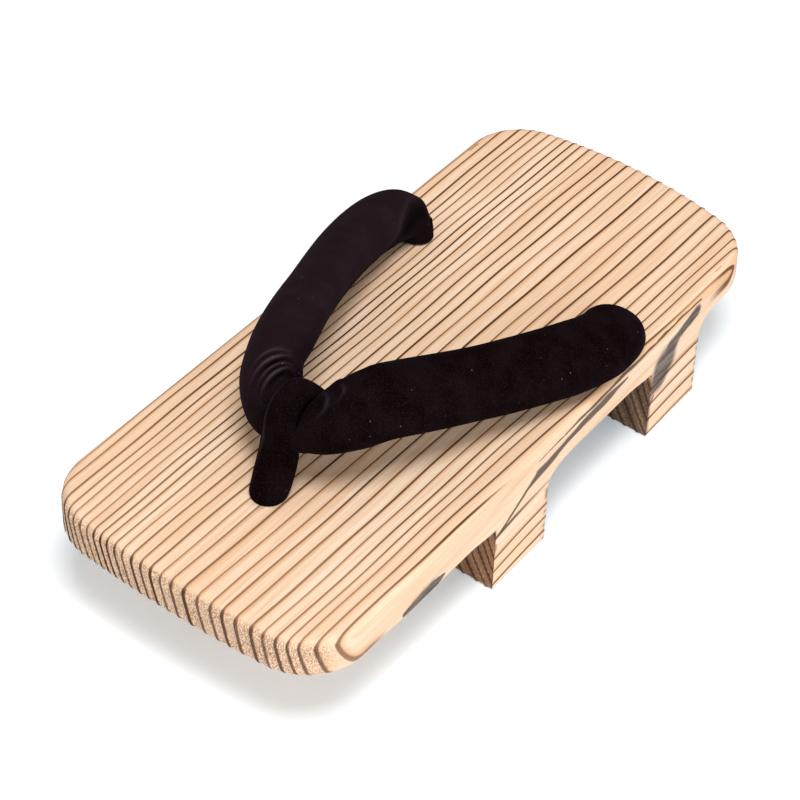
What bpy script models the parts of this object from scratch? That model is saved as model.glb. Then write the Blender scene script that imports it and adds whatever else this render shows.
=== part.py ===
"""One geta sandal: a wooden block with two teeth, a padded strap and its toe post.

Units are metres. +Y points to the toe, +X to the wearer's right, +Z up.
The origin is on the floor, under the middle of the block.
"""
import math

import bmesh
import bpy
import numpy as np
from mathutils import Vector

MM = 0.001

# Wooden block: overall sizes
LENGTH = 250 * MM
TOE_WIDTH = 113 * MM
HEEL_WIDTH = 106 * MM
HEIGHT = 45 * MM
TOE_BOW = 3.5 * MM
HEEL_BOW = 8 * MM
TOE_CORNER_RADIUS = 22 * MM
HEEL_CORNER_RADIUS = 22 * MM
EDGE_ROUND = 3 * MM

# Wooden block: thickness of the deck ahead of, between and behind the teeth,
# and how far the underside lifts again at the toe
TOE_THICKNESS = 17 * MM
MIDDLE_THICKNESS = 15.5 * MM
HEEL_THICKNESS = 13 * MM
TOE_LIFT = 2.5 * MM
TOE_LIFT_LENGTH = 48 * MM

# Teeth, sawn in one piece with the deck
TOOTH_LENGTH = 28.5 * MM
FRONT_TOOTH_Y = 18 * MM
REAR_TOOTH_Y = -70.5 * MM
ROOT_FILLET = 6 * MM

# Strap holes through the deck
FRONT_HOLE_Y = 77.5 * MM
REAR_HOLE_X = 41.5 * MM
REAR_HOLE_Y = -48.5 * MM
HOLE_RADIUS = 5.5 * MM
HOLE_RIM = 1.5 * MM

# Padded strap: half sizes of its oval section, and how it stands over the deck
STRAP_HALF_WIDTH = 12.3 * MM
STRAP_HALF_THICKNESS = 8 * MM
JUNCTION_Y = 63 * MM
STRAP_RISE = 26.3 * MM

# Toe post: the stem that goes down the front hole and the band round the strap
STEM_HALF_WIDTH = 6.5 * MM
BAND_HALF_WIDTH = 6.0 * MM
BAND_THICKNESS = 4 * MM
STEM_SEAT_ANGLE = -62

# Knots under the deck
KNOT_RADIUS = 7 * MM
KNOT_HEIGHT = 10 * MM

FIT_GAP = 0.3 * MM

# How finely curves are cut
CORNER_STEPS = 8
END_STEPS = 10
EDGE_STEPS = 3
FILLET_STEPS = 5
HOLE_SIDES = 20
STRAP_SIDES = 18
POST_SIDES = 16
STEPS_PER_ROW = 5
BAND_STEPS = 24

# One arm of the strap, from the junction over the toe post to the rear hole.
# back: share of the way from the junction to the rear hole, along Y
# out: share of the rear hole's distance from the middle
# rise: share of the strap's greatest height over the deck
# wide, thick: shares of the strap's half sizes
# lean: degrees by which the outer edge hangs lower than the inner edge
ARM_COLUMNS = ("back", "out", "rise", "wide", "thick", "lean")
ARM_ROWS = (
    (0.000, 0.000, 0.890, 0.52, 0.68, 34),
    (0.002, 0.180, 0.888, 0.52, 0.68, 34),
    (0.034, 0.318, 0.945, 0.77, 0.90, 34),
    (0.085, 0.410, 0.990, 0.96, 1.00, 34),
    (0.161, 0.518, 1.000, 1.00, 1.00, 34),
    (0.296, 0.672, 0.909, 1.00, 1.00, 34),
    (0.448, 0.820, 0.757, 1.00, 1.00, 34),
    (0.592, 0.942, 0.616, 1.00, 1.00, 30),
    (0.726, 1.043, 0.480, 1.00, 1.00, 23),
    (0.843, 1.092, 0.372, 0.96, 1.00, 13),
    (0.942, 1.080, 0.318, 0.90, 0.94, 6),
    (1.002, 1.036, 0.221, 0.82, 0.86, 0),
    (1.005, 1.010, 0.092, 0.54, 0.72, 0),
)


def remove_old_objects():
    """Start from an empty scene."""
    for old in list(bpy.data.objects):
        bpy.data.objects.remove(old, do_unlink=True)


def make_material(name, color, roughness):
    """A plain Principled material of one colour."""
    material = bpy.data.materials.new(name)
    material.use_nodes = True
    shader = material.node_tree.nodes["Principled BSDF"]
    shader.inputs["Base Color"].default_value = (*color, 1.0)
    shader.inputs["Roughness"].default_value = roughness
    shader.inputs["Metallic"].default_value = 0.0
    material.diffuse_color = (*color, 1.0)
    return material


def add_object(name, bm, material=None, smooth_angle=None):
    """Put a bmesh into the scene as one object, its faces pointing out."""
    bmesh.ops.recalc_face_normals(bm, faces=bm.faces[:])
    mesh = bpy.data.meshes.new(name)
    bm.to_mesh(mesh)
    bm.free()
    if smooth_angle is not None:
        mesh.shade_smooth()
        mesh.set_sharp_from_angle(angle=smooth_angle)
    obj = bpy.data.objects.new(name, mesh)
    bpy.context.collection.objects.link(obj)
    if material is not None:
        mesh.materials.append(material)
    return obj


def as_cutter(obj):
    """Mark an object as a tool shape that isn't part of the sandal."""
    obj.hide_render = True
    obj.display_type = "WIRE"
    return obj


def add_boolean(obj, cutter, operation):
    """Cut, cross or join an object with another by an exact Boolean."""
    modifier = obj.modifiers.new(cutter.name, "BOOLEAN")
    modifier.operation = operation
    modifier.solver = "EXACT"
    modifier.object = cutter


def skin_rings(bm, rings, closed_end=True):
    """Join rings of points into a tube; its two ends are filled, or it closes on itself."""
    loops = [[bm.verts.new(point) for point in ring] for ring in rings]
    count = len(loops[0])
    pairs = list(zip(loops, loops[1:]))
    if not closed_end:
        pairs.append((loops[-1], loops[0]))
    for lower, upper in pairs:
        for i in range(count):
            j = (i + 1) % count
            bm.faces.new((lower[i], lower[j], upper[j], upper[i]))
    if closed_end:
        bm.faces.new(loops[0][::-1])
        bm.faces.new(loops[-1])


# Plan outline of the block

def half_width(y):
    """Half the block's width at a place along it: the sides taper evenly to the heel."""
    share = y / LENGTH + 0.5
    return (HEEL_WIDTH + (TOE_WIDTH - HEEL_WIDTH) * share) / 2


def end_curve(x, bow, width):
    """Distance of an end from the middle: a shallow parabola, bow deep at its sides."""
    return LENGTH / 2 - bow * (2 * x / width) ** 2


def corner_arc(bow, width, radius, end_sign):
    """Centre of a corner's arc and the angle at which it meets the end's curve."""
    turn = 0.0
    centre_y = LENGTH / 2 - radius
    centre_x = 0.0
    for _ in range(30):
        centre_x = half_width(end_sign * centre_y) - radius
        touch_x = centre_x + radius * math.sin(turn)
        turn = math.atan(8 * bow * touch_x / width ** 2)
        centre_y = end_curve(touch_x, bow, width) - radius * math.cos(turn)
    return centre_x, centre_y, turn


def end_points(bow, width, radius, end_sign):
    """Points of one end from the +X side to the -X side, with both corners."""
    centre_x, centre_y, turn = corner_arc(bow, width, radius, end_sign)
    angles = np.linspace(0, math.pi / 2 - turn, CORNER_STEPS + 1)
    arc = [(centre_x + radius * math.cos(a), centre_y + radius * math.sin(a)) for a in angles]
    touch_x = arc[-1][0]
    bowed = [(x, end_curve(x, bow, width)) for x in np.linspace(touch_x, -touch_x, END_STEPS + 1)]
    mirrored = [(-x, y) for x, y in reversed(arc)]
    return [(x, end_sign * y) for x, y in arc[:-1] + bowed + mirrored[1:]]


def plan_outline():
    """The block seen from above, counter-clockwise, as an array of points."""
    toe = end_points(TOE_BOW, TOE_WIDTH, TOE_CORNER_RADIUS, 1)
    heel = end_points(HEEL_BOW, HEEL_WIDTH, HEEL_CORNER_RADIUS, -1)
    return np.array(toe + heel[::-1])


def inset(outline, distance):
    """Move a closed outline inwards along its own normals."""
    along = np.roll(outline, -1, axis=0) - np.roll(outline, 1, axis=0)
    along /= np.linalg.norm(along, axis=1)[:, None]
    inwards = np.column_stack((-along[:, 1], along[:, 0]))
    return outline + distance * inwards


# Side profile of the block

def fillet_points(corner_y, corner_z, way_y, radius):
    """A quarter round under the deck, from a tooth's face to the deck, on the side way_y."""
    angles = np.linspace(0, math.pi / 2, FILLET_STEPS + 1)
    centre_y = corner_y + way_y * radius
    centre_z = corner_z - radius
    return [(centre_y - way_y * radius * math.cos(a), centre_z + radius * math.sin(a)) for a in angles]


def side_profile():
    """The block seen from the side, as (y, z) points from the toe round under to the heel."""
    margin = LENGTH * 0.1
    toe_z = HEIGHT - TOE_THICKNESS
    middle_z = HEIGHT - MIDDLE_THICKNESS
    heel_z = HEIGHT - HEEL_THICKNESS
    half = TOOTH_LENGTH / 2
    front = (FRONT_TOOTH_Y + half, FRONT_TOOTH_Y - half)
    rear = (REAR_TOOTH_Y + half, REAR_TOOTH_Y - half)
    front_root = fillet_points(front[1], middle_z, -1, ROOT_FILLET)
    rear_root = fillet_points(rear[1], heel_z, -1, ROOT_FILLET)
    lift_slope = TOE_LIFT / TOE_LIFT_LENGTH
    points = [(LENGTH / 2 + margin, HEIGHT + margin), (LENGTH / 2 + margin, toe_z + TOE_LIFT + lift_slope * margin)]
    points += [(LENGTH / 2 - TOE_LIFT_LENGTH, toe_z), (front[0], toe_z)]
    points += [(front[0], 0), (front[1], 0)] + front_root
    points += [(rear[0], middle_z), (rear[0], 0), (rear[1], 0)] + rear_root
    points += [(-LENGTH / 2 - margin, heel_z), (-LENGTH / 2 - margin, HEIGHT + margin)]
    return points


def add_block(material):
    """The platform: the plan outline crossed with the side profile, then drilled."""
    outline = plan_outline()
    below = -10 * MM
    rings = [[(x, y, below) for x, y in outline]]
    for step in range(EDGE_STEPS + 1):
        angle = math.pi / 2 * step / EDGE_STEPS
        z = HEIGHT - EDGE_ROUND * (1 - math.sin(angle))
        rings.append([(x, y, z) for x, y in inset(outline, EDGE_ROUND * (1 - math.cos(angle)))])
    bm = bmesh.new()
    skin_rings(bm, rings)
    block = add_object("platform", bm, material, math.radians(30))

    bm = bmesh.new()
    far_x = max(TOE_WIDTH, HEEL_WIDTH)
    skin_rings(bm, [[(x, y, z) for y, z in side_profile()] for x in (-far_x, far_x)])
    add_boolean(block, as_cutter(add_object("cutter_side_profile", bm)), "INTERSECT")

    middle_z = HEIGHT - MIDDLE_THICKNESS
    places = {
        "cutter_front_hole": (0, FRONT_HOLE_Y, HEIGHT - TOE_THICKNESS),
        "cutter_rear_hole_right": (REAR_HOLE_X, REAR_HOLE_Y, middle_z),
        "cutter_rear_hole_left": (-REAR_HOLE_X, REAR_HOLE_Y, middle_z),
    }
    for name, place in places.items():
        add_boolean(block, add_hole_cutter(name, *place), "DIFFERENCE")
    return block


def add_hole_cutter(name, x, y, under_z):
    """A round drill with a flared rim above and below the deck."""
    wide = HOLE_RADIUS + 2 * HOLE_RIM
    profile = (
        (wide, under_z - HOLE_RIM),
        (HOLE_RADIUS, under_z + HOLE_RIM),
        (HOLE_RADIUS, HEIGHT - HOLE_RIM),
        (wide, HEIGHT + HOLE_RIM),
    )
    turns = [2 * math.pi * i / HOLE_SIDES for i in range(HOLE_SIDES)]
    bm = bmesh.new()
    skin_rings(bm, [[(x + r * math.cos(a), y + r * math.sin(a), z) for a in turns] for r, z in profile])
    return as_cutter(add_object(name, bm))


# Tubes with an oval section that changes along their route

def smooth_rows(rows, steps):
    """Rows read from a smooth Catmull-Rom curve through the given rows."""
    rows = np.array(rows, float)
    padded = np.vstack((2 * rows[0] - rows[1], rows, 2 * rows[-1] - rows[-2]))
    result = []
    for i in range(1, len(padded) - 2):
        before, start, end, after = padded[i - 1:i + 3]
        for step in range(steps):
            t = step / steps
            slope = end - before
            bend = 2 * before - 5 * start + 4 * end - after
            rest = 3 * start - before - 3 * end + after
            result.append(0.5 * (2 * start + slope * t + bend * t ** 2 + rest * t ** 3))
    result.append(rows[-1])
    return np.array(result)


def tube_rings(rows, first_side, sides, first_tangent=None):
    """Rings of an oval tube along rows of (x, y, z, half width, half thickness, lean).

    The section's wide axis starts along first_side and is carried along the route
    without twist; each ring is then leaned about the route by its own angle.
    """
    centres = [Vector(row[:3]) for row in rows]
    side = Vector(first_side)
    rings = []
    for i, row in enumerate(rows):
        tangent = centres[min(i + 1, len(rows) - 1)] - centres[max(i - 1, 0)]
        if i == 0 and first_tangent is not None:
            tangent = Vector(first_tangent)
        tangent.normalize()
        side = (side - tangent * side.dot(tangent)).normalized()
        upwards = tangent.cross(side)
        lean = math.radians(row[5])
        wide_axis = side * math.cos(lean) - upwards * math.sin(lean)
        thin_axis = side * math.sin(lean) + upwards * math.cos(lean)
        ring = []
        for k in range(sides):
            angle = 2 * math.pi * k / sides
            ring.append(centres[i] + wide_axis * (row[3] * math.cos(angle))
                        + thin_axis * (row[4] * math.sin(angle)))
        rings.append(ring)
    return rings


def knot_rows(x, y, under_z):
    """The cord below a hole: through the deck, then a round knot under it."""
    inside = HOLE_RADIUS - FIT_GAP
    rows = [(x, y, HEIGHT - HOLE_RIM, inside, inside, 0), (x, y, under_z + HOLE_RIM, inside, inside, 0)]
    top_z = under_z - FIT_GAP
    for drop, size in ((0.0, 0.62), (0.12, 0.85), (0.35, 1.0), (0.65, 1.0), (0.88, 0.8), (1.0, 0.45)):
        rows.append((x, y, top_z - drop * KNOT_HEIGHT, size * KNOT_RADIUS, size * KNOT_RADIUS, 0))
    return rows


def add_strap(material):
    """The padded strap: both arms in one tube, from knot to knot over the junction."""
    route = []
    for row in ARM_ROWS:
        share = dict(zip(ARM_COLUMNS, row))
        route.append((
            share["out"] * REAR_HOLE_X,
            JUNCTION_Y + share["back"] * (REAR_HOLE_Y - JUNCTION_Y),
            HEIGHT + share["rise"] * STRAP_RISE,
            share["wide"] * STRAP_HALF_WIDTH,
            share["thick"] * STRAP_HALF_THICKNESS,
            share["lean"],
        ))
    rows = np.vstack((
        smooth_rows(route, STEPS_PER_ROW),
        np.array(knot_rows(REAR_HOLE_X, REAR_HOLE_Y, HEIGHT - MIDDLE_THICKNESS)),
    ))
    right = tube_rings(rows, (0, 1, 0), STRAP_SIDES, (1, 0, 0))
    left = [[Vector((-p.x, p.y, p.z)) for p in ring] for ring in right]
    bm = bmesh.new()
    skin_rings(bm, left[:0:-1] + right)
    return add_object("strap", bm, material, math.radians(40))


def add_toe_post(material):
    """The toe post: a stem up from the front hole, and a band round the strap's middle."""
    share = dict(zip(ARM_COLUMNS, ARM_ROWS[0]))
    lean = math.radians(share["lean"])
    centre = Vector((0, JUNCTION_Y, HEIGHT + share["rise"] * STRAP_RISE))
    wide_axis = Vector((0, math.cos(lean), -math.sin(lean)))
    thin_axis = Vector((0, math.sin(lean), math.cos(lean)))
    reach = FIT_GAP + BAND_THICKNESS / 2
    wide = share["wide"] * STRAP_HALF_WIDTH + reach
    thin = share["thick"] * STRAP_HALF_THICKNESS + reach
    rings = []
    for i in range(BAND_STEPS):
        angle = 2 * math.pi * i / BAND_STEPS
        middle = centre + wide_axis * (wide * math.cos(angle)) + thin_axis * (thin * math.sin(angle))
        outwards = (wide_axis * (math.cos(angle) / wide) + thin_axis * (math.sin(angle) / thin)).normalized()
        ring = []
        for k in range(POST_SIDES):
            turn = 2 * math.pi * k / POST_SIDES
            across = Vector((BAND_HALF_WIDTH * math.cos(turn), 0, 0))
            ring.append(middle + across + outwards * (BAND_THICKNESS / 2 * math.sin(turn)))
        rings.append(ring)
    bm = bmesh.new()
    skin_rings(bm, rings, closed_end=False)
    band = as_cutter(add_object("cutter_band", bm))

    inside = HOLE_RADIUS - FIT_GAP
    seat = math.radians(STEM_SEAT_ANGLE)
    foot = centre + wide_axis * (wide * math.cos(seat)) + thin_axis * (thin * math.sin(seat))
    rows = [
        (0, foot.y, foot.z, STEM_HALF_WIDTH * 0.9, BAND_THICKNESS / 2, 0),
        (0, foot.y + 0.35 * (FRONT_HOLE_Y - foot.y), foot.z - 0.3 * (foot.z - HEIGHT),
         STEM_HALF_WIDTH, STEM_HALF_WIDTH * 0.95, 0),
        (0, foot.y + 0.88 * (FRONT_HOLE_Y - foot.y), foot.z - 0.68 * (foot.z - HEIGHT),
         STEM_HALF_WIDTH, STEM_HALF_WIDTH, 0),
        (0, FRONT_HOLE_Y, HEIGHT + HOLE_RIM, STEM_HALF_WIDTH * 0.9, STEM_HALF_WIDTH * 0.9, 0),
    ]
    rows = np.vstack((
        smooth_rows(rows, STEPS_PER_ROW),
        np.array(knot_rows(0, FRONT_HOLE_Y, HEIGHT - TOE_THICKNESS)),
    ))
    bm = bmesh.new()
    skin_rings(bm, tube_rings(rows, (1, 0, 0), POST_SIDES))
    post = add_object("toe_post", bm, material, math.radians(40))
    add_boolean(post, band, "UNION")
    return post


def main():
    remove_old_objects()
    cedar = make_material("cedar", (0.85, 0.62, 0.40), 0.6)
    velvet = make_material("velvet", (0.012, 0.008, 0.012), 0.9)
    add_block(cedar)
    add_strap(velvet)
    add_toe_post(velvet)


main()
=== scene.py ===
# %% [markdown]
# A geta is a sandal sawn from one block of wood. Two teeth under the deck keep the foot
# off the ground, and a padded strap, tied through three holes, holds it. This lesson
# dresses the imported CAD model: it loads the frame, builds each visible piece as a surface
# in numpy, and gives the wood and the velvet their own materials. Everything is in
# metres in the frame of the CAD, so that each piece lies where its solid lies.

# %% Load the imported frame
import math

import bmesh
import bpy
import numpy as np
from mathutils import Matrix, Vector


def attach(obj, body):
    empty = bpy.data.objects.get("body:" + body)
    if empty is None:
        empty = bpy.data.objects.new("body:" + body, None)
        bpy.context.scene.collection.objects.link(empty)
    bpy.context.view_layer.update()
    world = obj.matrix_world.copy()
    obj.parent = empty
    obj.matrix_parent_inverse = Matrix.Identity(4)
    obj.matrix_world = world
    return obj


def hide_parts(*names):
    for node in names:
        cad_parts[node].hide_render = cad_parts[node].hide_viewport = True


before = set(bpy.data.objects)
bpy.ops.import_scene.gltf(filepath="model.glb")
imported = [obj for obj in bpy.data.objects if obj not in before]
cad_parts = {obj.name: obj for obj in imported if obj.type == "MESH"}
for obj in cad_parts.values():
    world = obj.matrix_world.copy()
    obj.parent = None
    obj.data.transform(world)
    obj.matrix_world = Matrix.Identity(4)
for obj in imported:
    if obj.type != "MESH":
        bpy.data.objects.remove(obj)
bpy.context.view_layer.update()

MM = 0.001

# %% [markdown]
# The camera comes first, because every later choice is judged through it. The picture was
# taken from above the toe, on the wearer's left. Its place and its field were solved from
# corners and edges, with the block's width and height held near usual sizes, because the
# picture alone doesn't settle them. Here the same camera stands at the same place, and is
# turned the shortest way until the one shoe is centred, which keeps the angle at which
# the shoe is seen. A longer lens then fills the frame with it.

# %% Camera
AZIMUTH, ELEVATION, ROLL = (math.radians(a) for a in (219.895, 43.18, -0.506))
CAMERA_PLACE = Vector((-430.75, 603.25, 743.92)) * MM
AIM = Vector((8.8, -1.8, 20.0)) * MM
SENSOR = 36.0
LENS = 142.0


def photo_axes():
    """Right, up and backward of the camera that took the picture."""
    back = Vector((math.sin(AZIMUTH) * math.cos(ELEVATION),
                   -math.cos(AZIMUTH) * math.cos(ELEVATION), math.sin(ELEVATION)))
    right = (-back).cross(Vector((0, 0, 1))).normalized()
    up = right.cross(-back)
    turned_right = right * math.cos(ROLL) + up * math.sin(ROLL)
    turned_up = up * math.cos(ROLL) - right * math.sin(ROLL)
    return Matrix((turned_right, turned_up, back)).transposed()


def add_camera():
    """The camera at the picture's place, turned the shortest way to the aim."""
    axes = photo_axes()
    back = (CAMERA_PLACE - AIM).normalized()
    turn = axes.col[2].rotation_difference(back).to_matrix()
    data = bpy.data.cameras.new("camera")
    data.sensor_width = SENSOR
    data.lens = LENS
    camera = bpy.data.objects.new("camera", data)
    camera.matrix_world = Matrix.Translation(CAMERA_PLACE) @ (turn @ axes).to_4x4()
    bpy.context.collection.objects.link(camera)
    bpy.context.scene.camera = camera
    return camera


camera = add_camera()
print("camera at", [round(v / MM) for v in camera.location], "mm")

# %% [markdown]
# The sizes of the sandal are the maker's own, in millimetres: the same names as in the
# CAD source, so that the pieces below keep its form.

# %% Sizes
LENGTH, TOE_WIDTH, HEEL_WIDTH, HEIGHT = 250.0, 113.0, 106.0, 45.0
TOE_BOW, HEEL_BOW, CORNER_RADIUS = 3.5, 8.0, 22.0
EDGE_ROUND, LOWER_ROUND, TOOTH_ROUND = 3.0, 2.2, 1.0
TOE_THICKNESS, MIDDLE_THICKNESS, HEEL_THICKNESS = 17.0, 15.5, 13.0
TOE_LIFT, TOE_LIFT_LENGTH = 2.5, 48.0
TOOTH_LENGTH, FRONT_TOOTH_Y, REAR_TOOTH_Y, ROOT_FILLET = 28.5, 18.0, -70.5, 6.0
FRONT_HOLE_Y, REAR_HOLE_X, REAR_HOLE_Y = 77.5, 41.5, -48.5
HOLE_RADIUS, HOLE_RIM = 5.5, 0.4

# %% [markdown]
# Growth rings run through the whole block, so they are one solid pattern: a number that
# counts the rings across the block at any point. The mesh uses it to raise the hard late
# wood by a few tenths of a millimetre, and the wood's material uses the same function to
# draw the dark lines, so that colour and relief agree on every face. Their number and the
# change of their spacing across the block were judged; no single ring is matched.

# %% Rings of the wood
RING_PLACES = [
    -62, -58.5, -55, -51.3, -47.3, -44.4, -41, -36.8, -32.6, -26.8, -21.8, -17.6, -12.8, -7.6,
    -2.7, 1.6, 5.8, 9.7, 13.5, 17.2, 20.5, 23.8, 26.6, 29.6, 32.6, 35.8, 39.2, 42.0, 45.4, 49.8,
    53, 56.4, 59.6, 63, 66.2, 69.6, 73, 76.2, 79.6, 83, 86.4, 90,
]
RING_SLOPE, RING_LEAN, RING_SPREAD, RING_CURVE = 0.015, 0.19, 0.0016, 0.006
# Each wave: radians per millimetre along y and along x, and its height
LONG_WAVE, SHORT_WAVE = (0.037, 0.06, 0.35), (0.131, -0.21, 0.12)
DECK_RIDGE, END_RIDGE, RIDGE_SHARPNESS = 0.09, 0.45, 7


def sine(value):
    """The sine of an array, or of a number in a material."""
    return value.sine() if hasattr(value, "sine") else np.sin(value)


def wave(x, y, shape):
    """A slow sideways wave of the grain."""
    along, across, height = shape
    return sine(y * along + x * across) * height


def ring_distance(x, y, z):
    """Distance across the rings: x, less the grain's slope along y, plus a lean and a curve
    that grow with the depth under the deck, plus slow waves. All in millimetres."""
    depth = HEIGHT - z
    across = x - y * RING_SLOPE + depth * (x * RING_SPREAD + RING_LEAN) + depth * depth * RING_CURVE
    return across + (wave(x, y, LONG_WAVE) + wave(x, y, SHORT_WAVE))


def ring_number(x, y, z):
    """The ring count at points given in millimetres, whole at each dark line."""
    return np.interp(ring_distance(x, y, z), RING_PLACES, np.arange(len(RING_PLACES)))


def ridge_height(x, y, z, normal):
    """How far brushing left the late wood proud, in millimetres: a narrow hump at each
    whole ring number, low on the deck, high on the end grain, none on the flat-sawn sides."""
    hump = np.maximum(np.cos(2 * np.pi * ring_number(x, y, z)), 0.0) ** RIDGE_SHARPNESS
    return hump * (DECK_RIDGE * np.maximum(normal[..., 2], 0) ** 2 + END_RIDGE * normal[..., 1] ** 2)


print("rings across the block:", len(RING_PLACES))

# %% [markdown]
# A mesh here is a set of patches. Each patch is a grid of points worked out as one array,
# and neighbours share the points of their common border, so welding closes the block
# without a seam. The helper below turns grids into quads, and can close a grid on itself.

# %% Grids to meshes
class Patches:
    """Grids of points gathered for one mesh."""

    def __init__(self):
        self.points, self.faces, self.count = [], [], 0

    def add(self, grid, flip=False, round_columns=False, round_rows=False):
        """Add a rows x columns x 3 grid as quads, in millimetres."""
        rows, columns = grid.shape[:2]
        index = np.arange(rows * columns).reshape(rows, columns) + self.count
        if round_columns:
            index = np.hstack((index, index[:, :1]))
        if round_rows:
            index = np.vstack((index, index[:1]))
        quads = np.stack((index[:-1, :-1], index[:-1, 1:], index[1:, 1:], index[1:, :-1]), axis=-1)
        quads = quads.reshape(-1, 4)
        self.faces.append(quads[:, ::-1] if flip else quads)
        self.points.append(grid.reshape(-1, 3))
        self.count += rows * columns
        return index

    def close(self, ring, flip=False):
        """Fill a closed ring of point numbers with one face."""
        self.faces.append([list(ring[::-1] if flip else ring)])

    def build(self, name, weld=0.0005):
        """Make the object, weld doubles and drop faces without area."""
        mesh = bpy.data.meshes.new(name)
        faces = [list(map(int, face)) for group in self.faces for face in group]
        mesh.from_pydata(np.vstack(self.points) * MM, [], faces)
        bm = bmesh.new()
        bm.from_mesh(mesh)
        bmesh.ops.remove_doubles(bm, verts=bm.verts, dist=weld * MM)
        bmesh.ops.dissolve_degenerate(bm, edges=bm.edges, dist=weld * MM)
        bmesh.ops.recalc_face_normals(bm, faces=bm.faces)
        open_edges = sum(1 for edge in bm.edges if not edge.is_manifold)
        bm.to_mesh(mesh)
        bm.free()
        piece = bpy.data.objects.new(name, mesh)
        bpy.context.collection.objects.link(piece)
        print(name, len(mesh.polygons), "faces,", open_edges, "open edges")
        return piece


def apply_modifiers(piece):
    """Bake the object's modifiers into its mesh."""
    bpy.context.view_layer.update()
    evaluated = piece.evaluated_get(bpy.context.evaluated_depsgraph_get())
    mesh = bpy.data.meshes.new_from_object(evaluated)
    mesh.name = piece.name
    old = piece.data
    piece.modifiers.clear()
    piece.data = mesh
    bpy.data.meshes.remove(old)
    return piece


# %% [markdown]
# The block seen from above tapers to the heel, has four round corners and two ends that
# bow outwards. The columns of the deck's grid run from heel to toe, closer together in the
# corners, where they follow the arc by equal angles. A ruled surface between the two ends
# keeps the columns along the grain, so the ridges run cleanly along them.

# %% Plan of the block
CORNER_COLUMNS, MIDDLE_COLUMNS, END_ROWS = 56, 150, 7


def half_width(y):
    """Half the block's width at y: the sides taper evenly to the heel."""
    return (HEEL_WIDTH + (TOE_WIDTH - HEEL_WIDTH) * (y / LENGTH + 0.5)) / 2


def end_edge(bow, width, way):
    """Points and outward normals of one end from -X to +X: a parabola between two arcs
    that touch it and the sides."""
    turn, centre_y = 0.0, LENGTH / 2 - CORNER_RADIUS
    for _ in range(30):
        centre_x = half_width(way * centre_y) - CORNER_RADIUS
        touch = centre_x + CORNER_RADIUS * math.sin(turn)
        turn = math.atan(8 * bow * touch / width ** 2)
        centre_y = LENGTH / 2 - bow * (2 * touch / width) ** 2 - CORNER_RADIUS * math.cos(turn)
    angle = np.linspace(0, math.pi / 2 - turn, CORNER_COLUMNS + 1)
    arc_out = np.column_stack((np.cos(angle), np.sin(angle)))
    arc = np.array((centre_x, centre_y)) + CORNER_RADIUS * arc_out
    x = np.linspace(touch, -touch, MIDDLE_COLUMNS + 1)[1:-1]
    bowed = np.column_stack((x, LENGTH / 2 - bow * (2 * x / width) ** 2))
    bowed_out = np.column_stack((8 * bow * x / width ** 2, np.ones_like(x)))
    bowed_out /= np.linalg.norm(bowed_out, axis=1)[:, None]
    mirror = np.array((-1, 1))
    points = np.vstack((arc, bowed, arc[::-1] * mirror))[::-1] * (1, way)
    outwards = np.vstack((arc_out, bowed_out, arc_out[::-1] * mirror))[::-1] * (1, way)
    return points, outwards, way * centre_y


toe_edge, toe_out, toe_row = end_edge(TOE_BOW, TOE_WIDTH, 1)
heel_edge, heel_out, heel_row = end_edge(HEEL_BOW, HEEL_WIDTH, -1)
COLUMNS = len(toe_edge)
print("columns", COLUMNS, "sides straight from", round(heel_row, 1), "to", round(toe_row, 1))

# %% [markdown]
# Under the deck the block is sawn away between the teeth. Each tooth has a sharp front
# root and a round rear one. The function gives the height of the underside along the
# block; across a tooth it runs straight from root to root, where the tooth is set on.

# %% Underside of the block
FRONT_FACES = (FRONT_TOOTH_Y - TOOTH_LENGTH / 2, FRONT_TOOTH_Y + TOOTH_LENGTH / 2)
REAR_FACES = (REAR_TOOTH_Y - TOOTH_LENGTH / 2, REAR_TOOTH_Y + TOOTH_LENGTH / 2)
TOE_Z, MIDDLE_Z, HEEL_Z = HEIGHT - TOE_THICKNESS, HEIGHT - MIDDLE_THICKNESS, HEIGHT - HEEL_THICKNESS
FILLET_ROWS = 6


def fillet_rows(face_y, deck_z):
    """y and z of the quarter round from the deck down to a tooth's rear face."""
    angle = np.linspace(0, math.pi / 2, FILLET_ROWS + 1)
    return (face_y - ROOT_FILLET * (1 - np.sin(angle)), deck_z - ROOT_FILLET * (1 - np.cos(angle)))


def spaced(start, end, step):
    """Even rows from start to end, no further apart than step."""
    return np.linspace(start, end, int(math.ceil((end - start) / step)) + 1)


ROW_STEP, TOOTH_STEP = 4.0, 3.0
# How far from a tooth the lower edge starts to get sharper
LOWER_EASE = 14.0
rear_fillet = fillet_rows(REAR_FACES[0], HEEL_Z)
front_fillet = fillet_rows(FRONT_FACES[0], MIDDLE_Z)
stretches = [
    ("deck", spaced(heel_row, rear_fillet[0][0], ROW_STEP)),
    ("deck", rear_fillet[0]),
    ("tooth", spaced(*REAR_FACES, TOOTH_STEP)),
    ("deck", spaced(REAR_FACES[1], front_fillet[0][0], ROW_STEP)),
    ("deck", front_fillet[0]),
    ("tooth", spaced(*FRONT_FACES, TOOTH_STEP)),
    ("deck", spaced(FRONT_FACES[1], toe_row, ROW_STEP)),
]
side_rows = np.concatenate([stretches[0][1]] + [rows[1:] for _, rows in stretches[1:]])


def low_z(y):
    """Height of the underside at y, with a tooth's root as a straight line."""
    lift_start = LENGTH / 2 - TOE_LIFT_LENGTH
    places = np.concatenate((
        [-LENGTH], rear_fillet[0], [REAR_FACES[1]], front_fillet[0], [FRONT_FACES[1], lift_start, LENGTH]))
    lift = TOE_LIFT / TOE_LIFT_LENGTH * (LENGTH - lift_start)
    heights = np.concatenate((
        [HEEL_Z], rear_fillet[1], [MIDDLE_Z], front_fillet[1], [TOE_Z, TOE_Z, TOE_Z + lift]))
    return np.interp(y, places, heights)


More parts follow.
